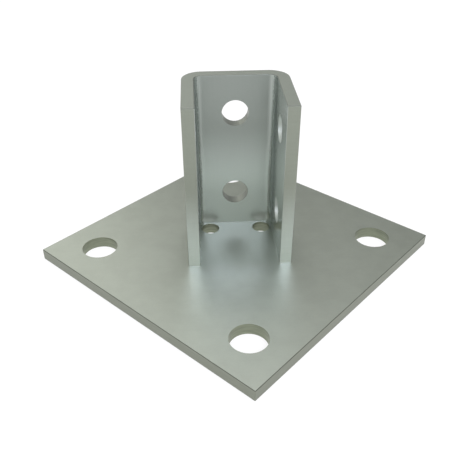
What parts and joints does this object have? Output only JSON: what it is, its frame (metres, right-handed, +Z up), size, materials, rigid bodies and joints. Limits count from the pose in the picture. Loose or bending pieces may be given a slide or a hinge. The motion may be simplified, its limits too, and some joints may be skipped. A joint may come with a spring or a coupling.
{
  "type": "channel base bracket",
  "caption": "Upright U-shaped channel bracket of thick folded steel, welded on a square base plate with anchor bolt holes, for bolting a strut channel or post to a floor.",
  "frame": {"origin": "centre of the base plate's underside", "axes": "+Z up along the channel, -Y out of the channel's open side, +X across the channel; the plate's corners lie on the X and Y axes"},
  "size_m": [0.2152, 0.2152, 0.0953],
  "materials": {
    "plate_zinc": "semi-gloss zinc coating over flat steel plate",
    "channel_zinc": "semi-gloss zinc coating over folded steel strip",
    "weld_zinc": "zinc coating over a rippled weld bead"
  },
  "bodies": {
    "root": {"base_plate": "plate_zinc", "channel_bracket": "channel_zinc", "foot_weld": "weld_zinc"}
  },
  "joints": []
}
